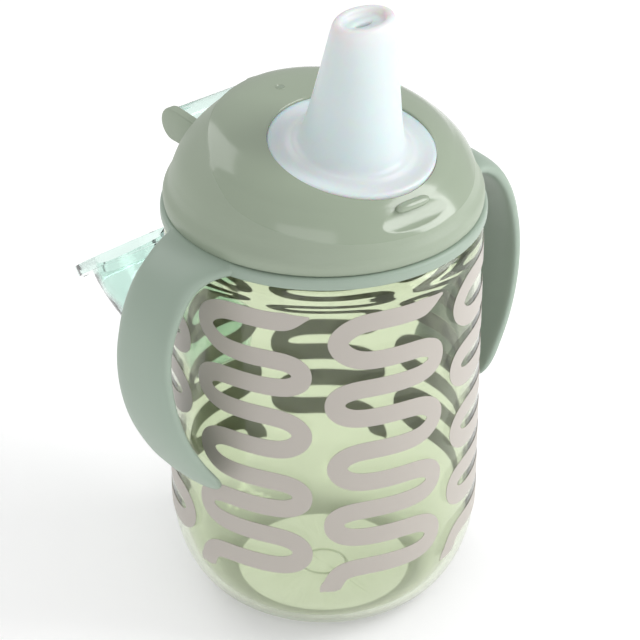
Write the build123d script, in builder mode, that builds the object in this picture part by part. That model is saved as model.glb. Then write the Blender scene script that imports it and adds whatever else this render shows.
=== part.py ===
"""Child's sippy cup with a screw lid, a soft spout, a clip-on pair of handles and a flip cap.

Millimetres, +Z up, origin at the centre of the flat base.  The spout and the latch face -Y,
the cap's hinge is at +Y and the two handles are at -X and +X.  The cap is modelled open.
"""
from build123d import *
import os
from math import cos, radians, sin

# ---- cup body ----
CUP_R = 36.0            # outer radius at the shoulder
BASE_R = 20.5           # flat that the cup stands on
CORNER_Z = 24.0         # height of the rounded bottom corner
DRAFT_R = 35.5          # outer radius where the bottom corner ends
SHOULDER_Z = 96.8       # flat ledge that carries the handle collar
LEDGE_R = 33.8          # outer radius of that ledge
NECK_R = 31.0           # outer radius of the neck
RIM_Z = 105.0           # drinking rim, under the seal
WALL = 2.0

# ---- screw thread ----
THREAD_LEAD = 4.0       # the lid rises this much in one turn
THREAD_H = 1.2          # radial height of a rib
THREAD_W = 1.5          # axial width of a rib
THREAD_Z = 99.2         # where the neck's rib starts
THREAD_TURNS = 1.1

# ---- handle collar ----
COLLAR_Z0, COLLAR_Z1 = 96.85, 99.85
COLLAR_R, COLLAR_BORE = 36.75, 32.8
HANDLE_T = 3.4          # thickness of the band
HANDLE_OUT, HANDLE_WIDE_Z = 51.7, 77.0      # where the band's middle stands furthest out
HANDLE_ROOT = 15.5      # half its width at the ring
HANDLE_WAIST = 9.0      # half its width at the grip
WAIST_R = 62.0          # radius of its waisted edges

# ---- lid ----
SKIRT_Z = 99.9
LID_BORE = 32.7         # inside radius over the neck
LAND_Z = 106.2          # face that presses the seal
LAND_R = 29.2
TOP_TILT = 7.5          # the top slopes down to the front by this many degrees
TOP_Y, TOP_Z = -1.4, 119.8
SKIN = 2.2              # thickness under the top
VENT_Y, VENT_R = 15.5, 0.9
VENT_BOSS_R, VENT_PLUG_R = 3.8, 2.3
LATCH_Y, LATCH_Z, LATCH_R = -30.8, 111.3, 1.2

# ---- spout and what holds it ----
SPOUT_TILT = 9.5
SPOUT_Y, SPOUT_Z = -9.7, 117.4
HOLE_R = 19.1           # opening for the spout's flange
FLANGE_R = 18.85
SOCKET_R = 20.6         # inside radius of the tube that holds the spout
LIP_R = 20.35
SOCKET_LOW = -7.0       # lower edge of that tube, from the flange
LIP_Z = -2.6            # top of the lip that is caught under the lid, from the flange
SPOUT_H = 32.6

# ---- hinge ----
HINGE_Y, HINGE_Z = 39.2, 106.4
BARREL_R, BARREL_HALF = 3.4, 10.4
EAR_IN, EAR_T, EAR_R = 10.6, 2.4, 4.0
TRUNNION_R, TRUNNION_L, RUNNING_GAP = 1.6, 1.5, 0.05

# ---- flip cap, drawn closed over the spout and then turned open ----
CAP_OPEN = 227.0        # degrees from closed to hanging open
CAP_LIFT = 1.0          # rim's underside above the spout's flange
CAP_RIM_R, CAP_RIM_T = 21.3, 2.6
CAP_MOUTH_R = 17.6      # outside of the cap's dome at its rim
ARM_T = 2.4
CAP_WALL = 1.4

os.makedirs("parts", exist_ok=True)


def tilted(y, z, angle):
    """A plane through (0, y, z) that slopes down to the front by the angle."""
    return Plane(origin=(0, y, z), x_dir=(1, 0, 0), z_dir=(0, -sin(radians(angle)), cos(radians(angle))))


def upright(plane):
    """The plane through another plane's X and Z axes, for profiles that turn about that Z axis."""
    return Plane(origin=plane.origin, x_dir=plane.x_dir, z_dir=-plane.y_dir)


top_plane = tilted(TOP_Y, TOP_Z, TOP_TILT)
spout_plane = tilted(SPOUT_Y, SPOUT_Z, SPOUT_TILT)
hinge_axis = Axis((0, HINGE_Y, HINGE_Z), (1, 0, 0))


def helical_rib(radius, depth, start_z, turns):
    """A trapezoid rib wound on a cylinder; a positive depth points outward."""
    root = -0.4 if depth > 0 else 0.4
    with BuildPart() as rib:
        with BuildLine() as path:
            Helix(pitch=THREAD_LEAD, height=THREAD_LEAD * turns, radius=radius, center=(0, 0, start_z))
        with BuildSketch(Plane(origin=path.line @ 0, x_dir=(1, 0, 0), z_dir=path.line % 0)):
            with BuildLine():
                Polyline((root, -THREAD_W / 2), (depth, -THREAD_W / 4), (depth, THREAD_W / 4),
                         (root, THREAD_W / 2), close=True)
            make_face()
        sweep(path=path.line, is_frenet=True)
    return rib.part


# ---- the cup: one moulded shell with a rounded foot, a shoulder and a threaded neck ----
neck_rib = helical_rib(NECK_R, THREAD_H, THREAD_Z, THREAD_TURNS)

with BuildPart() as cup_body:
    with BuildSketch(Plane.XZ):
        with BuildLine():
            Line((0, 0), (BASE_R, 0))
            EllipticalCenterArc((BASE_R, CORNER_Z), DRAFT_R - BASE_R, CORNER_Z, start_angle=270, arc_size=90)
            Line((DRAFT_R, CORNER_Z), (CUP_R, SHOULDER_Z - 3.6))
            RadiusArc((CUP_R, SHOULDER_Z - 3.6), (LEDGE_R, SHOULDER_Z), -3.6)
            Polyline((LEDGE_R, SHOULDER_Z), (NECK_R, SHOULDER_Z), (NECK_R, RIM_Z), (NECK_R - WALL, RIM_Z),
                     (NECK_R - WALL, SHOULDER_Z - WALL), (CUP_R - WALL, SHOULDER_Z - 6),
                     (DRAFT_R - WALL, CORNER_Z))
            EllipticalCenterArc((BASE_R, CORNER_Z), DRAFT_R - BASE_R - WALL, CORNER_Z - WALL,
                                start_angle=270, arc_size=90)
            Polyline((BASE_R, WALL), (0, WALL), (0, 0))
        make_face()
    revolve(axis=Axis.Z)
    add(neck_rib)
cup_body.part.label = "cup_body"

# ---- the handles: a bent band cut to its outline, and a copy of it on the other side ----
with BuildPart() as handle:
    with BuildSketch(Plane.XZ):
        with BuildLine():
            ThreePointArc((36.3, 98.35), (47.2, 92.6), (HANDLE_OUT, HANDLE_WIDE_Z))
            ThreePointArc((HANDLE_OUT, HANDLE_WIDE_Z), (48.6, 57.6), (38.9, 42.3))
        trace(line_width=HANDLE_T)
    extrude(amount=HANDLE_ROOT + 1, both=True)
    with BuildSketch(Plane.YZ.offset(28)) as band:
        with Locations((0, 70.4)):
            Rectangle(2 * HANDLE_ROOT, 61.2)
        fillet(band.vertices().group_by(Axis.Y)[0], radius=6)
        with Locations((HANDLE_WAIST + WAIST_R, 76), (-HANDLE_WAIST - WAIST_R, 76)):
            Circle(WAIST_R, mode=Mode.SUBTRACT)
    extrude(amount=32, mode=Mode.INTERSECT)

with BuildPart() as handle_collar:
    with BuildSketch(Plane.XY.offset(COLLAR_Z0)):
        Circle(COLLAR_R)
        Circle(COLLAR_BORE, mode=Mode.SUBTRACT)
    extrude(amount=COLLAR_Z1 - COLLAR_Z0)
    add(handle.part)
    add(handle.part.rotate(Axis.Z, 180))
handle_collar.part.label = "handle_collar"

# ---- the closed cap's arm: straight up from the hinge over the lid's back, then level to the rim ----
with BuildLine() as arm_line:
    FilletPolyline((HINGE_Y + 0.2, HINGE_Z + 0.2), (24.6, 121.4), (8.5, 123.9), radius=8)


def arm_band(thickness, half_width):
    """The arm's line given a thickness and a width."""
    with BuildPart() as band_part:
        with BuildSketch(Plane.YZ):
            with BuildLine():
                add(arm_line.line)
            trace(line_width=thickness)
        extrude(amount=half_width, both=True)
    return band_part.part


# ---- the lid: a round skirt with two hinge ears, cut by a tilted dome, and hollow ----
with BuildPart() as dome:
    with BuildSketch(upright(top_plane)):
        with BuildLine():
            ThreePointArc((0, 0), (17, -0.7), (29, -4.4))
            ThreePointArc((29, -4.4), (31.6, -6.9), (33.2, -10.4))
            Polyline((33.2, -10.4), (48, -14), (48, -40), (0, -40), (0, 0))
        make_face()
    revolve(axis=Axis(top_plane.origin, top_plane.z_dir))

with BuildPart() as cavity:
    with BuildSketch(Plane.XZ):
        with BuildLine():
            Polyline((0, LAND_Z), (LAND_R, LAND_Z), (LAND_R, 109.5), (27, 113.6), (24, 117.5), (22, 124), (0, 124),
                     (0, LAND_Z))
        make_face()
    revolve(axis=Axis.Z)
    add(dome.part.moved(Location((0, 0, -SKIN))), mode=Mode.INTERSECT)

with BuildPart() as fittings:
    with BuildSketch(spout_plane.offset(SOCKET_LOW)):
        Circle(SOCKET_R + WALL)
    extrude(amount=7.5)
    with BuildSketch(Plane.XY.offset(TOP_Z - 6.5)):
        with Locations((0, VENT_Y)):
            Circle(VENT_BOSS_R)
    extrude(amount=9)
    add(dome.part.moved(Location((0, 0, -0.5))), mode=Mode.INTERSECT)

with BuildPart() as scoop:
    with BuildSketch(Plane.YZ):
        with Locations((-35.6, 112.6)):
            Circle(5.6)
    extrude(amount=14, both=True)

with BuildPart() as lid:
    with BuildSketch(Plane.XZ):
        with BuildLine():
            Polyline((0, SKIRT_Z), (35.4, SKIRT_Z), (35.9, SKIRT_Z + 0.6))
            ThreePointArc((35.9, SKIRT_Z + 0.6), (36.1, 102.2), (35.3, 104.4))
            ThreePointArc((35.3, 104.4), (34.5, 106.2), (33.9, 108))
            ThreePointArc((33.9, 108), (31.0, 113.4), (26.4, 118.4))
            Polyline((26.4, 118.4), (24.5, 124), (0, 124), (0, SKIRT_Z))
        make_face()
    revolve(axis=Axis.Z)
    for x in (EAR_IN, -EAR_IN - EAR_T):
        with BuildSketch(Plane.YZ.offset(x)):
            with Locations((HINGE_Y, HINGE_Z)):
                Circle(EAR_R)
            with Locations((HINGE_Y - 5, HINGE_Z)):
                Rectangle(10, 2 * EAR_R)
        extrude(amount=EAR_T)
    add(dome.part, mode=Mode.INTERSECT)
    with BuildSketch(Plane.XY.offset(SKIRT_Z)):
        Circle(LID_BORE)
    extrude(amount=LAND_Z - SKIRT_Z, mode=Mode.SUBTRACT)
    add(cavity.part, mode=Mode.SUBTRACT)
    add(fittings.part)
    add(scoop.part, mode=Mode.SUBTRACT)
    add(arm_band(ARM_T + 1, EAR_IN), mode=Mode.SUBTRACT)
    with BuildSketch(spout_plane.offset(-9)):
        Circle(SOCKET_R)
    extrude(amount=9 + LIP_Z, mode=Mode.SUBTRACT)
    with BuildSketch(spout_plane.offset(-4)):
        Circle(HOLE_R)
    extrude(amount=9, mode=Mode.SUBTRACT)
    with BuildSketch(Plane.XY.offset(TOP_Z - 7)):
        with Locations((0, VENT_Y)):
            Circle(VENT_PLUG_R)
    extrude(amount=6.6, mode=Mode.SUBTRACT)
    with BuildSketch(Plane.XY.offset(TOP_Z - 1)):
        with Locations((0, VENT_Y)):
            Circle(VENT_R)
    extrude(amount=5, mode=Mode.SUBTRACT)
    with BuildSketch(Plane.YZ.offset(-EAR_IN - TRUNNION_L)):
        with Locations((HINGE_Y, HINGE_Z)):
            Circle(TRUNNION_R + RUNNING_GAP)
    extrude(amount=2 * (EAR_IN + TRUNNION_L), mode=Mode.SUBTRACT)
    with BuildSketch(Plane.YZ.offset(-4)):
        with Locations((LATCH_Y, LATCH_Z)):
            Circle(LATCH_R)
    extrude(amount=8)
    add(helical_rib(LID_BORE, -THREAD_H, THREAD_Z + THREAD_LEAD / 2, 0.9))
lid.part.label = "lid"

# ---- the seal between the lid and the cup's rim ----
with BuildPart() as lid_seal:
    with BuildSketch(Plane.XY.offset(RIM_Z + 0.02)):
        Circle(NECK_R - 0.1)
        Circle(NECK_R - WALL + 0.1, mode=Mode.SUBTRACT)
    extrude(amount=LAND_Z - RIM_Z - 0.05)
lid_seal.part.label = "lid_seal"

# ---- the soft spout: a flange caught under the lid and an oval mouthpiece ----
SPOUT_SECTIONS = (      # height, half width, half depth, shift towards the back
    (-0.5, 12.2, 12.2, 0.0),
    (8.0, 10.6, 10.2, 0.2),
    (20.0, 9.4, 7.8, 0.7),
    (SPOUT_H, 8.0, 5.0, 1.4),
)


def oval_loft(sections, shrink=0.0, low=0.0, top=0.0):
    """A smooth tube through ovals square to the spout's axis, shrunk all round, its ends moved by low and top."""
    last = len(sections) - 1
    with BuildPart() as tube:
        for n, (height, half_width, half_depth, shift) in enumerate(sections):
            end = low if n == 0 else top if n == last else 0
            with BuildSketch(spout_plane.offset(height + end)):
                with Locations((0, shift)):
                    Ellipse(half_width - shrink, half_depth - shrink)
        loft()
    return tube.part


with BuildPart() as spout:
    with BuildSketch(spout_plane.offset(LIP_Z - 1.6)):
        Circle(LIP_R)
    extrude(amount=1.55)
    with BuildSketch(spout_plane.offset(LIP_Z - 1.6)):
        Circle(FLANGE_R)
    extrude(amount=1.6 - LIP_Z)
    add(oval_loft(SPOUT_SECTIONS))
    add(oval_loft(SPOUT_SECTIONS, shrink=1.6, low=-4.5, top=-2.4), mode=Mode.SUBTRACT)
    with BuildSketch(spout_plane.offset(SPOUT_H - 1.2)):
        with Locations((0, 1.4)):
            Ellipse(5.8, 3.0)
    extrude(amount=3, mode=Mode.SUBTRACT)
    with BuildSketch(spout_plane.offset(SPOUT_H - 4)):
        with Locations((-2.4, 1.4), (0, 1.4), (2.4, 1.4)):
            Circle(0.8)
    extrude(amount=5, mode=Mode.SUBTRACT)
spout.part.label = "spout"

# ---- the valve plate that holds the spout up from below, with a slit cup in its middle ----
with BuildPart() as spout_valve:
    with BuildSketch(spout_plane.offset(LIP_Z - 3.6)):
        Circle(LIP_R)
    extrude(amount=1.95)
    with BuildSketch(spout_plane.offset(LIP_Z - 7.4)):
        Circle(8.6)
    extrude(amount=4)
    with BuildSketch(spout_plane.offset(LIP_Z - 6.2)):
        Circle(7.2)
    extrude(amount=7, mode=Mode.SUBTRACT)
    with BuildSketch(spout_plane.offset(LIP_Z - 8)):
        Rectangle(8, 0.6)
        Rectangle(0.6, 8)
    extrude(amount=3, mode=Mode.SUBTRACT)
spout_valve.part.label = "spout_valve"

# ---- the vent plug: a stem in the lid's boss and a slit beak below it ----
BOSS_LOW = TOP_Z - 6.5
with BuildPart() as vent_valve:
    with BuildSketch(Plane.XZ.offset(-VENT_Y)):
        with BuildLine():
            Polyline((0, BOSS_LOW - 3.4), (1.2, BOSS_LOW - 3.4), (2.2, BOSS_LOW - 0.9), (3.5, BOSS_LOW - 0.9),
                     (3.5, BOSS_LOW - 0.02), (VENT_PLUG_R - 0.05, BOSS_LOW - 0.02),
                     (VENT_PLUG_R - 0.05, BOSS_LOW + 5.4), (1.1, BOSS_LOW + 5.4), (1.1, BOSS_LOW - 1),
                     (0, BOSS_LOW - 2.6), close=True)
        make_face()
    revolve(axis=Axis((0, VENT_Y, 0), (0, 0, 1)))
    with BuildSketch(Plane.XY.offset(BOSS_LOW - 4)):
        with Locations((0, VENT_Y)):
            Rectangle(1.8, 0.3)
    extrude(amount=2, mode=Mode.SUBTRACT)
vent_valve.part.label = "vent_valve"

# ---- the flip cap, drawn closed: a rim with a thumb lip, a dome, an arm and a barrel ----
CAP_SECTIONS = (        # height, half width, half depth, shift towards the back
    (CAP_LIFT, CAP_MOUTH_R, CAP_MOUTH_R, 0.0),
    (16.0, 15.8, 15.0, 0.2),
    (28.0, 12.6, 10.6, 1.0),
    (34.0, 9.6, 6.8, 1.4),
    (36.2, 7.0, 4.4, 1.5),
)

with BuildPart() as closed_cap:
    with BuildSketch(spout_plane.offset(CAP_LIFT)):
        Circle(CAP_RIM_R)
        with Locations((0, 3.5 - CAP_RIM_R)):
            RectangleRounded(22, 12, 3)
    extrude(amount=CAP_RIM_T)
    add(oval_loft(CAP_SECTIONS))
    add(arm_band(ARM_T, BARREL_HALF))
    with BuildSketch(Plane.YZ.offset(-BARREL_HALF)):
        with Locations((HINGE_Y, HINGE_Z)):
            Circle(BARREL_R)
    extrude(amount=2 * BARREL_HALF)
    with BuildSketch(Plane.YZ.offset(0.2 - EAR_IN - TRUNNION_L)):
        with Locations((HINGE_Y, HINGE_Z)):
            Circle(TRUNNION_R)
    extrude(amount=2 * (EAR_IN + TRUNNION_L - 0.2))
    add(oval_loft(CAP_SECTIONS, shrink=CAP_WALL, low=-0.5, top=-CAP_WALL), mode=Mode.SUBTRACT)

with BuildPart() as flip_cap:
    add(closed_cap.part.rotate(hinge_axis, -CAP_OPEN))
flip_cap.part.label = "flip_cap"

for piece in (cup_body, handle_collar, lid, lid_seal, spout, spout_valve, vent_valve, flip_cap):
    export_step(piece.part, f"parts/{piece.part.label}.step")
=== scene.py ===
"""Studio view of the sippy cup: shells, soft spout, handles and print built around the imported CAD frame.

Lengths below are in millimetres in the CAD frame (+Z up, front at -Y, hinge at +Y) and are scaled to metres
where a mesh is made.
"""
from math import atan2, cos, hypot, pi, radians, sin, sqrt, tan

import bmesh
import bpy
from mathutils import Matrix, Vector


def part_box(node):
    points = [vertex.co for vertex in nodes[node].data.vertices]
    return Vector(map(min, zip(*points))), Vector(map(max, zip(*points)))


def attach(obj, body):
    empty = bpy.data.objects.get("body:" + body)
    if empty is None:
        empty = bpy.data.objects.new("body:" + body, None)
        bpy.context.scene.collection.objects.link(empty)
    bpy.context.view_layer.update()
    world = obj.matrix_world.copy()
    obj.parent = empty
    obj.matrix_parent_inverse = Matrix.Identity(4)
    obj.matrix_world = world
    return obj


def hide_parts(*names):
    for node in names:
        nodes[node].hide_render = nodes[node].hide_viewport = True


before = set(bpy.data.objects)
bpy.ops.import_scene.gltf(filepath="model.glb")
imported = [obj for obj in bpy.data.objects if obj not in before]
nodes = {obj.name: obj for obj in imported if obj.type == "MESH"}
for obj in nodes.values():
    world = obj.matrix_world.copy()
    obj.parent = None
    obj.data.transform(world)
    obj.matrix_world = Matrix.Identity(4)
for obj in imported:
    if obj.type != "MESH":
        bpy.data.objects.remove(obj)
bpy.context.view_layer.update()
MM = 0.001

# ---- sizes that the CAD frame gives ----
cup_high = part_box("cup_body")[1]
lid_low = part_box("lid")[0]
CUP_R = cup_high.x / MM
RIM_Z = cup_high.z / MM
SKIRT_Z = lid_low.z / MM
COLLAR_TOP = SKIRT_Z - 0.05     # the lid's skirt stands this close above the collar
COLLAR_LOW = COLLAR_TOP - 3.0

# ---- sizes repeated from the part's design ----
BASE_R, CORNER_Z, DRAFT_R = 20.5, 24.0, 35.5
SHOULDER_Z, NECK_R, WALL = 96.8, 31.0, 2.0
COLLAR_BORE, COLLAR_R, COLLAR_EDGE = 32.8, 36.75, 0.9
SPOUT_Y, SPOUT_Z, SPOUT_TILT = -9.7, 117.4, radians(9.5)
TOP_Y, TOP_Z, TOP_TILT = -1.4, 119.8, radians(7.5)
HOLE_R = 19.1
SCOOP_Y, SCOOP_Z, SCOOP_R, SCOOP_HALF = -35.6, 112.6, 5.6, 15
HINGE_Y, HINGE_Z = 39.2, 106.4
EAR_IN, EAR_R = 10.6, 4.0
VENT_Y = 15.5
THREAD_Z, THREAD_LEAD, THREAD_TURNS, THREAD_H = 99.2, 4.0, 1.1, 1.2


# ---------------------------------------------------------------- mesh helpers
def new_object(name, verts, faces, material=None, sharp=40):
    """A smooth mesh object from millimetre points, with edges sharper than the angle kept crisp."""
    mesh = bpy.data.meshes.new(name)
    mesh.from_pydata([Vector(v) * MM for v in verts], [], faces)
    mesh.validate()
    mesh.shade_smooth()
    mesh.set_sharp_from_angle(angle=radians(sharp))
    obj = bpy.data.objects.new(name, mesh)
    bpy.context.scene.collection.objects.link(obj)
    if material:
        mesh.materials.append(material)
    return obj


def ring_mesh(name, rings, material=None, wrap=False, caps=True, closed=True, sharp=40):
    """A skin through rings of the same number of points; wrap joins the last ring to the first."""
    count = len(rings[0])
    verts = [p for ring in rings for p in ring]
    faces = []
    spans = count if closed else count - 1
    for i in range(len(rings) if wrap else len(rings) - 1):
        a, b = i * count, (i + 1) % len(rings) * count
        for j in range(spans):
            k = (j + 1) % count
            faces.append((a + j, a + k, b + k, b + j))
    if caps and not wrap:
        faces.append(tuple(reversed(range(count))))
        faces.append(tuple(range(len(verts) - count, len(verts))))
    obj = new_object(name, verts, faces, material, sharp)
    bm = bmesh.new()
    bm.from_mesh(obj.data)
    bmesh.ops.recalc_face_normals(bm, faces=bm.faces)
    bm.to_mesh(obj.data)
    bm.free()
    obj.data.set_sharp_from_angle(angle=radians(sharp))
    return obj


def lathe(name, profile, material=None, steps=192, sharp=40):
    """A closed (radius, height) outline turned about the cup's axis."""
    rings = [[(r * cos(2 * pi * j / steps), r * sin(2 * pi * j / steps), z) for j in range(steps)]
             for r, z in profile]
    return ring_mesh(name, rings, material, wrap=True, sharp=sharp)


def arc(cx, cz, rx, rz, start, end, count):
    """Points on an ellipse in (radius, height), angles in degrees."""
    return [(cx + rx * cos(radians(start + (end - start) * i / count)),
             cz + rz * sin(radians(start + (end - start) * i / count))) for i in range(count + 1)]


def smooth_line(points, count):
    """A Catmull-Rom curve through the points, with count samples in each span."""
    pts = [Vector(p) for p in points]
    pts = [2 * pts[0] - pts[1]] + pts + [2 * pts[-1] - pts[-2]]
    line = []
    for a, b, c, d in zip(pts, pts[1:], pts[2:], pts[3:]):
        for i in range(count):
            t = i / count
            line.append(0.5 * (2 * b + (c - a) * t + (2 * a - 5 * b + 4 * c - d) * t ** 2
                               + (3 * b - a - 3 * c + d) * t ** 3))
    return line + [pts[-2]]


# ---------------------------------------------------------------- materials
def plain_material(name, color, roughness, **sockets):
    """A Principled material with its uniform values on the shader's own sockets."""
    mat = bpy.data.materials.new(name)
    mat.use_nodes = True
    shader = mat.node_tree.nodes["Principled BSDF"]
    shader.inputs["Base Color"].default_value = (*color, 1)
    shader.inputs["Roughness"].default_value = roughness
    for socket, value in sockets.items():
        shader.inputs[socket.replace("_", " ")].default_value = value
    return mat


def add_texture(mat, color, shift, color_scale, rough, rough_shift, bump_scale, bump):
    """Slow colour drift, uneven gloss and a fine moulded grain, all from noise in the object's own space."""
    tree = mat.node_tree
    shader = tree.nodes["Principled BSDF"]
    coords = tree.nodes.new("ShaderNodeTexCoord")

    def noise(scale, detail):
        node = tree.nodes.new("ShaderNodeTexNoise")
        node.inputs["Scale"].default_value = scale
        node.inputs["Detail"].default_value = detail
        tree.links.new(coords.outputs["Object"], node.inputs["Vector"])
        return node.outputs["Fac"]

    ramp = tree.nodes.new("ShaderNodeValToRGB")
    ramp.color_ramp.elements[0].color = (*[c * (1 - shift) for c in color], 1)
    ramp.color_ramp.elements[1].color = (*[min(1, c * (1 + shift)) for c in color], 1)
    tree.links.new(noise(color_scale, 3), ramp.inputs["Fac"])
    tree.links.new(ramp.outputs["Color"], shader.inputs["Base Color"])
    gloss = tree.nodes.new("ShaderNodeMapRange")
    gloss.inputs["To Min"].default_value = rough - rough_shift
    gloss.inputs["To Max"].default_value = rough + rough_shift
    tree.links.new(noise(color_scale * 4, 4), gloss.inputs["Value"])
    tree.links.new(gloss.outputs["Result"], shader.inputs["Roughness"])
    grain = tree.nodes.new("ShaderNodeBump")
    grain.inputs["Strength"].default_value = bump
    grain.inputs["Distance"].default_value = 0.0002
    tree.links.new(noise(bump_scale, 2), grain.inputs["Height"])
    tree.links.new(grain.outputs["Normal"], shader.inputs["Normal"])


def moulded(name, color, roughness, bump, **sockets):
    """Opaque moulded plastic with grain and a slight unevenness."""
    mat = plain_material(name, color, roughness, **sockets)
    add_texture(mat, color, 0.03, 60, roughness, 0.04, 2600, bump)
    return mat


collar_mat = moulded("collar_plastic", (0.345, 0.43, 0.355), 0.42, 0.10)
skirt_mat = moulded("lid_skirt_plastic", (0.352, 0.415, 0.318), 0.46, 0.14)
top_mat = moulded("lid_top_plastic", (0.340, 0.405, 0.305), 0.16, 0.02, Coat_Weight=0.35, Coat_Roughness=0.08)
# the lid's inside: the same lid plastic made darker, painted shade under the lid and in the vent's hole
shaded_inside_mat = moulded("lid_inside_painted_shade", (0.30, 0.36, 0.28), 0.5, 0.1)
silicone_mat = moulded("milky_silicone", (0.86, 0.875, 0.89), 0.34, 0.06, Subsurface_Weight=0.6,
                       Subsurface_Scale=0.006, Transmission_Weight=0.12)
CLEAR = {"Transmission_Weight": 1.0, "IOR": 1.45}
cup_mat = plain_material("clear_green_plastic", (0.78, 0.83, 0.68), 0.04, **CLEAR)
cap_mat = plain_material("clear_teal_plastic", (0.74, 0.88, 0.83), 0.05, **CLEAR)
print_mat = moulded("print_ink", (0.50, 0.465, 0.42), 0.42, 0.05)


# ---------------------------------------------------------------- the cup
def cup_radius(z):
    """Outside radius of the cup at a height."""
    if z < CORNER_Z:
        return BASE_R + (DRAFT_R - BASE_R) * sqrt(max(0, 1 - ((CORNER_Z - z) / CORNER_Z) ** 2))
    return DRAFT_R + (CUP_R - DRAFT_R) * min(1, (z - CORNER_Z) / (SHOULDER_Z - 3.6 - CORNER_Z))


def make_cup():
    """One clear shell: flat base, elliptical foot, straight wall, rounded shoulder and neck."""
    outside = [(0.01, 0), (5.0, 0), (5.15, 0.35), (5.6, 0.35), (5.75, 0), (14, 0)]
    outside += arc(BASE_R, CORNER_Z, DRAFT_R - BASE_R, CORNER_Z, 270, 360, 28)
    outside += [(cup_radius(z), z) for z in (40, 60, 80, SHOULDER_Z - 3.7)]
    outside += arc(CUP_R - 3.4, SHOULDER_Z - 3.5, 3.4, 3.5, 8, 90, 10) + [(NECK_R + 0.5, SHOULDER_Z)]
    outside += [(NECK_R, SHOULDER_Z + 0.5), (NECK_R, RIM_Z - 0.4), (NECK_R - 0.4, RIM_Z)]
    inside = [(NECK_R - WALL + 0.4, RIM_Z), (NECK_R - WALL, RIM_Z - 0.4), (NECK_R - WALL, SHOULDER_Z - 1)]
    inside += arc(CUP_R - WALL - 4, SHOULDER_Z - 7, 4, 5, 80, 0, 8)
    inside += [(CUP_R - WALL, 80), (DRAFT_R - WALL + 0.2, 40)]
    inside += arc(BASE_R, CORNER_Z, DRAFT_R - BASE_R - WALL, CORNER_Z - WALL, 360, 270, 28)
    inside += [(10, WALL), (0.01, WALL)]
    shell = lathe("cup_shell", outside + inside, cup_mat, 192, 60)
    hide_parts("cup_body")
    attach(shell, "cup")


def make_thread():
    """The neck's helical rib, which shows when the lid is off."""
    rings = []
    steps = 90
    for i in range(steps + 1):
        turn = 2 * pi * THREAD_TURNS * i / steps
        fade = min(1, 8 * i / steps, 8 * (steps - i) / steps)
        z = THREAD_Z + THREAD_LEAD * turn / (2 * pi)
        section = ((-0.1, -0.75), (THREAD_H * fade, -0.38), (THREAD_H * fade, 0.38), (-0.1, 0.75))
        rings.append([((NECK_R + h) * cos(turn), (NECK_R + h) * sin(turn), z + w) for h, w in section])
    rib = ring_mesh("neck_thread", rings, cup_mat)
    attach(rib, "cup")


# ---------------------------------------------------------------- the printed serpentine
RUN_HEIGHTS = (88.0, 78.2, 71.0, 63.2, 54.6, 46.2, 38.8, 31.4, 23.4)
COLUMNS = 7
COLUMN_START = 203.3        # degrees, the first column's middle
STRIPE = 4.6
REACH = 12.4                # how far the turns' middle line stands from the column's middle


def serpentine():
    """The column's middle line in (sideways, height), from the pointed right end down to the tail."""
    points = [(REACH + 1.8, RUN_HEIGHTS[0] + 1.8), (7.5, RUN_HEIGHTS[0] + 0.2)]
    for n, (high, low) in enumerate(zip(RUN_HEIGHTS, RUN_HEIGHTS[1:])):
        way = -1 if n % 2 == 0 else 1
        half = (high - low) / 2
        bulge = REACH - 0.6 * (n % 4 == 0)
        points += [(way * (bulge - half * 1.05), high - 0.35), (way * bulge, high - half),
                   (way * (bulge - half * 1.05), low + 0.35)]
    points += [(-8.6, RUN_HEIGHTS[-1] - 0.5), (-REACH - 0.3, RUN_HEIGHTS[-1] - 5.0), (-REACH - 0.5, 16.6)]
    return smooth_line([(u, z, 0) for u, z in points], 9)


def make_print():
    """Thin ink ribbons that follow the cup's outside, one for each column."""
    line = serpentine()
    count = len(line)
    across = 5
    for column in range(COLUMNS):
        middle = radians(COLUMN_START + 360 / COLUMNS * column)
        rings = []
        for i, point in enumerate(line):
            ahead, behind = line[min(i + 1, count - 1)], line[max(i - 1, 0)]
            along = (ahead - behind).normalized()
            side = Vector((-along.y, along.x, 0))
            half = STRIPE / 2 * min(1, 0.12 + i / 9) * min(1, 0.35 + (count - 1 - i) / 3)
            outer, inner = [], []
            for k in range(across):
                spot = point + side * half * (2 * k / (across - 1) - 1)
                radius = cup_radius(spot.y)
                angle = middle + spot.x / radius
                for ring, lift in ((outer, 0.13), (inner, 0.02)):
                    ring.append(((radius + lift) * cos(angle), (radius + lift) * sin(angle), spot.y))
            rings.append(outer + inner[::-1])
        ribbon = ring_mesh(f"print_column_{column + 1}", rings, print_mat, sharp=50)
        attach(ribbon, "cup")


# ---------------------------------------------------------------- the handle collar
# the band's middle line in (radius, height), from inside the ring to the free end
HANDLE_LINE = ((34.6, 98.35), (36.4, 98.3), (41.4, 97.0), (46.3, 92.9), (50.0, 85.6), (51.6, 76.6),
               (51.0, 67.2), (48.4, 57.6), (44.0, 49.0), (39.0, 42.4))
HANDLE_HALF = 1.75          # half the band's thickness
HANDLE_ROOT = 15.2          # half its width at the ring


def handle_width(t):
    """Half the band's width, from the ring at t=0 to the free end at t=1."""
    root = HANDLE_ROOT * max(0, 1 - t / 0.30) ** 1.6
    tip = 4.2 * max(0, (t - 0.5) / 0.5) ** 1.1
    return min(HANDLE_ROOT, 8.8 + 0.42 * root + tip)


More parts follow.
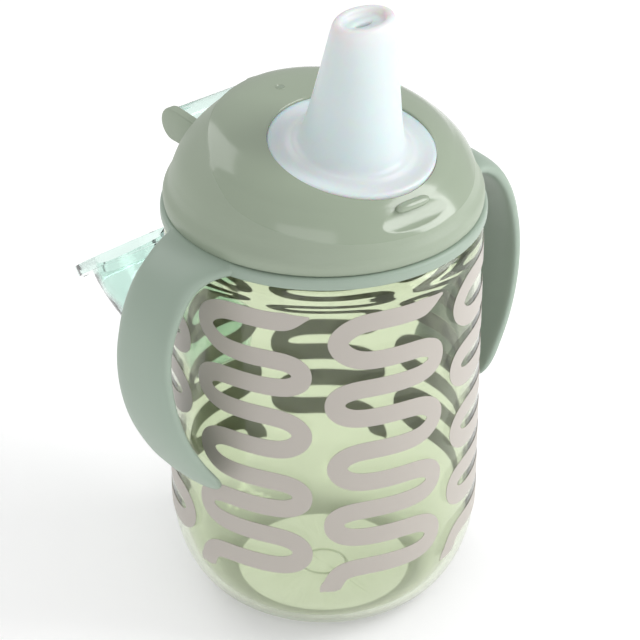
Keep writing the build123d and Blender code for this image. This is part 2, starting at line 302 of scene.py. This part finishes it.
def make_handle(name, turn):
    """A band with rounded edges that follows the cup's curve and ends in a rounded free end."""
    line = smooth_line([(r, z, 0) for r, z in HANDLE_LINE], 8)
    count = len(line)
    around = 48
    rings = []
    for i, point in enumerate(line):
        t = i / (count - 1)
        along = (line[min(i + 1, count - 1)] - line[max(i - 1, 0)]).normalized()
        out = Vector((-along.y, along.x, 0))
        left = (count - 1 - i) / 7
        end = sqrt(max(0.0, 1 - (1 - left) ** 2)) if left < 1 else 1
        width = handle_width(t) * (0.62 + 0.38 * end)
        half = HANDLE_HALF * (0.35 + 0.65 * end)
        ring = []
        for j in range(around):
            a = 2 * pi * j / around
            side = width * abs(cos(a)) ** 0.42 * (1 if cos(a) > 0 else -1)
            lift = half * abs(sin(a)) ** 0.75 * (1 if sin(a) > 0 else -1)
            spot = point + out * lift
            angle = turn + side / max(spot.x, 30)
            ring.append((spot.x * cos(angle), spot.x * sin(angle), spot.y))
        rings.append(ring)
    return ring_mesh(name, rings, collar_mat, sharp=60)


def make_collar():
    """The ring under the lid and the two bands that grow out of it."""
    low, high, edge = COLLAR_LOW, COLLAR_TOP, COLLAR_EDGE
    profile = [(COLLAR_BORE, low), (COLLAR_R - edge, low)]
    profile += arc(COLLAR_R - edge, low + edge, edge, edge, 270, 360, 6)
    profile += arc(COLLAR_R - edge, high - edge, edge, edge, 0, 90, 6) + [(COLLAR_BORE, high)]
    ring = lathe("collar_ring", profile, collar_mat, 256)
    pieces = [ring, make_handle("handle_right", 0), make_handle("handle_left", pi)]
    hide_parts("handle_collar")
    for piece in pieces:
        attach(piece, "lid")


# ---------------------------------------------------------------- the lid
def dome_z(x, y):
    """Height of the sloping top."""
    plane = TOP_Z + (y - TOP_Y) * tan(TOP_TILT)
    r = hypot(x, (y - TOP_Y) / cos(TOP_TILT))
    return plane - 0.0016 * r ** 2 - 3.2 * (r / 29) ** 8 * (1 if r < 29 else (29 / r) ** 2.0)


# the skirt's outline in (radius, height), from its lower edge past the crease
SKIRT = ((35.4, 99.9), (35.85, 100.3), (36.05, 101.4), (36.1, 102.4), (35.85, 103.5), (35.3, 104.4),
         (34.85, 105.2), (34.5, 106.2), (34.2, 107.2), (33.9, 108.0), (33.2, 109.8), (32.2, 111.7),
         (31.0, 113.4), (29.6, 115.1), (28.1, 116.7), (26.4, 118.4), (24.6, 120.4), (22.6, 123.0))


SKIRT_LINE = [(p.x, p.y) for p in smooth_line([(r, z, 0) for r, z in SKIRT], 12)]


def scooped(x, y, z):
    """Pushes a point of the front out of the scoop's cylinder."""
    dy, dz = y - SCOOP_Y, z - SCOOP_Z
    d = hypot(dy, dz)
    if d >= SCOOP_R or abs(x) > SCOOP_HALF:
        return (x, y, z)
    return (x, SCOOP_Y + dy / d * SCOOP_R, SCOOP_Z + dz / d * SCOOP_R)


def lid_columns(steps):
    """For each direction, its angle and the fractional index along the skirt's outline where the top meets
    the skirt.
    """
    columns = []
    for j in range(steps):
        a = 2 * pi * j / steps
        cut = next(i for i, (r, z) in enumerate(SKIRT_LINE)
                   if i > 40 and z > dome_z(r * cos(a), r * sin(a)) - 0.02 or i == len(SKIRT_LINE) - 1)
        (r0, z0), (r1, z1) = SKIRT_LINE[cut - 1], SKIRT_LINE[cut]
        f0, f1 = (z - dome_z(r * cos(a), r * sin(a)) for r, z in ((r0, z0), (r1, z1)))
        part = min(1, max(0, -f0 / (f1 - f0))) if f1 != f0 else 0
        columns.append((a, cut - 1 + part))
    return columns


def skirt_at(index):
    """The skirt's outline at a fractional index."""
    i = min(int(index), len(SKIRT_LINE) - 2)
    t = index - i
    return tuple(p + (q - p) * t for p, q in zip(SKIRT_LINE[i], SKIRT_LINE[i + 1]))


def lid_shell():
    """One closed skin: satin skirt up to the crease, glossy top from the crease to the hole, hollow."""
    steps = 384
    columns = lid_columns(steps)
    skirt_rows, top_rows = 46, 30
    rings = []
    for i in range(skirt_rows + 1):
        ring = []
        for a, cut in columns:
            r, z = skirt_at(cut * (i / skirt_rows))
            ring.append(scooped(r * cos(a), r * sin(a), z))
        rings.append(ring)
    crease_row = len(rings) - 1
    lip = HOLE_R * cos(SPOUT_TILT)
    for i in range(1, top_rows + 1):
        t = i / top_rows
        t = t if t > 0.06 else t * 0.6
        ring = []
        for a, cut in columns:
            r, z = skirt_at(cut)
            x0, y0 = r * cos(a), r * sin(a)
            b = atan2(y0 - SPOUT_Y, x0)
            x1, y1 = HOLE_R * cos(b), SPOUT_Y + lip * sin(b)
            x, y = x0 + (x1 - x0) * t, y0 + (y1 - y0) * t
            ring.append(scooped(x, y, dome_z(x, y)))
        rings.append(ring)
    edge = rings[-1]
    for inward, drop in ((0.18, 0.06), (0.28, 0.22), (0.3, 0.6), (0.3, 3.0)):
        rings.append([(x - inward * x / HOLE_R, y - inward * (y - SPOUT_Y) / HOLE_R, z - drop)
                      for x, y, z in edge])
    inner_start = len(rings)
    inside = ((20.6, 112.5, 1), (20.6, 109.5, 1), (22.4, 109.5, 1), (24.0, 112.5, 1), (27.0, 112.0, 0.3),
              (29.2, 108.0, 0), (29.2, 106.2, 0), (32.7, 106.2, 0), (32.7, 100.3, 0), (33.0, 99.9, 0))
    for r, z, follow in inside:
        rings.append([(r * cos(a), r * sin(a) + SPOUT_Y * follow * 0.6,
                       z + follow * r * sin(a) * tan(TOP_TILT)) for a, _ in columns])
    lid = ring_mesh("lid_shell", rings, skirt_mat, wrap=True, sharp=28)
    for mat in (top_mat, shaded_inside_mat):
        lid.data.materials.append(mat)
    for face in lid.data.polygons:
        row = min(face.vertices) // steps
        last = max(face.vertices) // steps
        if row >= crease_row and last < inner_start + 1:
            face.material_index = 1
        # faces of the lid's inside take the darker copy of the lid plastic, painted shade
        elif row >= inner_start - 1:
            face.material_index = 2
    return lid


def hinge_ears():
    """The two rounded lugs that hold the cap's trunnions."""
    outline = [(HINGE_Y + EAR_R * cos(a), HINGE_Z + EAR_R * sin(a)) for a in
               [radians(-90 + 180 * i / 20) for i in range(21)]]
    outline += [(HINGE_Y - 9, HINGE_Z + 3.6), (HINGE_Y - 9, HINGE_Z - 3.6)]
    ears = []
    for side, word in ((-1, "left"), (1, "right")):
        rings = []
        for offset, inset in ((0, 0.4), (0.12, 0.12), (0.4, 0), (2.0, 0), (2.28, 0.12), (2.4, 0.4)):
            rings.append([(side * (EAR_IN + offset), y - inset * (y - (HINGE_Y - 3)) / 7,
                           z - inset * (z - HINGE_Z) / 4) for y, z in outline])
        ears.append(ring_mesh(f"hinge_ear_{word}", rings, skirt_mat, sharp=50))
    return ears


def catch_bump():
    """The small bar in the scoop that catches the closed cap."""
    half = 4.6
    rings = []
    for i in range(25):
        x = -half + 2 * half * i / 24
        size = sqrt(max(0.0004, 1 - (x / half) ** 4))
        rings.append([(x, -30.6 + 1.3 * size * cos(b), 111.5 + 1.1 * size * sin(b))
                      for b in [2 * pi * j / 24 for j in range(24)]])
    return ring_mesh("catch_bump", rings, top_mat, sharp=60)


def vent_hole():
    """The vent's rounded rim and a dark disc that plugs its hole, painted shade in the hole."""
    turns = [2 * pi * j / 32 for j in range(32)]
    rings = [[(r * cos(b), VENT_Y + r * sin(b), dome_z(r * cos(b), VENT_Y + r * sin(b)) + dz) for b in turns]
             for r, dz in ((0.02, -2.2), (0.85, -2.0), (0.85, 0.02), (0.95, 0.1), (1.15, 0.05), (1.3, -0.3))]
    rim = ring_mesh("vent_rim", rings, top_mat, caps=False, sharp=50)
    # a dark plug of the darkened lid plastic: painted shade where the hole is
    rings = [[(0.8 * cos(b), VENT_Y + 0.8 * sin(b), dome_z(0, VENT_Y) + z) for b in turns]
             for z in (-1.2, 0.03)]
    return [rim, ring_mesh("vent_shade_disc", rings, shaded_inside_mat)]


def make_lid():
    """The lid's shell with its hinge ears, catch bump and vent hole."""
    shell = lid_shell()
    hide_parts("lid")
    for piece in [shell, *hinge_ears(), catch_bump(), *vent_hole()]:
        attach(piece, "lid")


# ---------------------------------------------------------------- the soft spout
SPOUT_RINGS = (         # height, half width, half depth, shift towards the back
    (-4.2, 20.3, 20.3, 0), (-2.7, 20.3, 20.3, 0), (-2.6, 18.9, 18.9, 0), (-0.45, 18.9, 18.9, 0),
    (-0.15, 18.8, 18.8, 0), (0.05, 18.45, 18.45, 0), (0.0, 17.8, 17.8, 0), (-0.3, 16.6, 16.6, 0),
    (-0.45, 15.3, 15.3, 0), (-0.2, 14.4, 14.4, 0), (0.25, 13.9, 13.9, 0), (0.45, 13.3, 13.3, 0),
    (0.6, 12.7, 12.7, 0), (1.3, 12.05, 12.0, 0), (3.0, 11.5, 11.4, 0), (8.0, 10.6, 10.2, 0.2),
    (14.0, 9.9, 9.0, 0.45), (20.0, 9.3, 7.7, 0.7), (26.0, 8.7, 6.4, 1.0), (30.0, 8.25, 5.5, 1.25),
    (31.6, 8.0, 5.1, 1.35), (32.4, 7.6, 4.7, 1.4), (32.7, 6.9, 4.0, 1.4), (32.55, 6.3, 3.4, 1.4),
    (32.0, 5.95, 3.1, 1.4), (31.3, 5.6, 2.8, 1.4), (31.15, 4.4, 1.9, 1.4), (31.1, 2.6, 0.85, 1.4),
    (30.6, 2.3, 0.6, 1.4), (29.4, 2.3, 0.6, 1.4), (29.2, 5.2, 2.6, 1.4), (27.5, 6.9, 4.3, 1.1),
    (14.0, 8.2, 7.2, 0.45), (3.0, 9.9, 9.8, 0), (-2.0, 10.2, 10.2, 0), (-4.2, 10.4, 10.4, 0),
)


def spout_frame():
    """Axes of the flange: across, towards the back, and out of the lid."""
    back = Vector((0, cos(SPOUT_TILT), sin(SPOUT_TILT)))
    out = Vector((0, -sin(SPOUT_TILT), cos(SPOUT_TILT)))
    return Vector((0, SPOUT_Y, SPOUT_Z)), Vector((1, 0, 0)), back, out


def make_spout():
    """One silicone piece: flange with a raised bead, leaning mouthpiece, oval recess and slit."""
    origin, across, back, out = spout_frame()
    rings = []
    for height, half_width, half_depth, shift in SPOUT_RINGS:
        turns = [2 * pi * j / 128 for j in range(128)]
        rings.append([origin + across * half_width * cos(a) + back * (shift + half_depth * sin(a))
                      + out * height for a in turns])
    spout = ring_mesh("spout_soft", rings, silicone_mat, wrap=True, sharp=75)
    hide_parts("spout")
    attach(spout, "lid")


# ---------------------------------------------------------------- CAD nodes that are shown as they are
def finish_nodes():
    """Materials for the CAD nodes that keep their own shape."""
    for name, mat in (("flip_cap", cap_mat), ("lid_seal", silicone_mat), ("spout_valve", silicone_mat),
                      ("vent_valve", silicone_mat)):
        for material_slot in nodes[name].material_slots:
            material_slot.material = mat


# ---------------------------------------------------------------- floor, light and camera
def area_light(name, place, target, size, power, size_y=None):
    """A soft box that points at the target."""
    data = bpy.data.lights.new(name, "AREA")
    data.shape = "RECTANGLE"
    data.size, data.size_y, data.energy = size, size_y or size, power
    obj = bpy.data.objects.new(name, data)
    obj.location = place
    obj.rotation_euler = (Vector(target) - Vector(place)).to_track_quat("-Z", "Y").to_euler()
    bpy.context.scene.collection.objects.link(obj)


def make_studio():
    """A white floor and a white room with three soft boxes that point at the cup's middle."""
    middle = (0, 0, 0.08)
    white = plain_material("floor_white", (0.9, 0.9, 0.9), 0.6, Emission_Color=(1, 1, 1, 1),
                           Emission_Strength=0.3)
    floor = new_object("floor", [(-2500, -2500, 0), (2500, -2500, 0), (2500, 2500, 0), (-2500, 2500, 0)],
                       [(0, 1, 2, 3)], white)
    world = bpy.data.worlds.new("studio")
    world.use_nodes = True
    world.node_tree.nodes["Background"].inputs["Color"].default_value = (1, 1, 1, 1)
    world.node_tree.nodes["Background"].inputs["Strength"].default_value = 0.52
    bpy.context.scene.world = world
    area_light("key_box", (0.42, -0.35, 0.42), middle, 0.35, 2.6, 0.5)
    area_light("fill_box", (-0.5, -0.45, 0.5), middle, 0.5, 0.9)
    area_light("back_box", (-0.1, 0.6, 0.6), middle, 0.5, 1.2)
    bpy.context.scene.view_settings.view_transform = "Standard"


CAMERA_AZ, CAMERA_EL = radians(-39), radians(31.0)
CAMERA_DISTANCE, CAMERA_AIM_Z, CAMERA_SHIFT = 0.8508, 0.06782, -0.00086
LENS = 209.4


def make_camera():
    """A long lens from the front left, aimed at the cup's axis."""
    right = Vector((cos(CAMERA_AZ), sin(CAMERA_AZ), 0))
    towards = Vector((sin(CAMERA_AZ) * cos(CAMERA_EL), -cos(CAMERA_AZ) * cos(CAMERA_EL), sin(CAMERA_EL)))
    target = Vector((0, 0, CAMERA_AIM_Z)) + right * CAMERA_SHIFT
    data = bpy.data.cameras.new("camera")
    data.lens, data.sensor_width = LENS, 36
    camera = bpy.data.objects.new("camera", data)
    camera.location = target + towards * CAMERA_DISTANCE
    camera.rotation_euler = (-towards).to_track_quat("-Z", "Y").to_euler()
    bpy.context.scene.collection.objects.link(camera)
    bpy.context.scene.camera = camera


make_cup()
make_thread()
make_print()
make_collar()
make_lid()
make_spout()
finish_nodes()
make_studio()
make_camera()
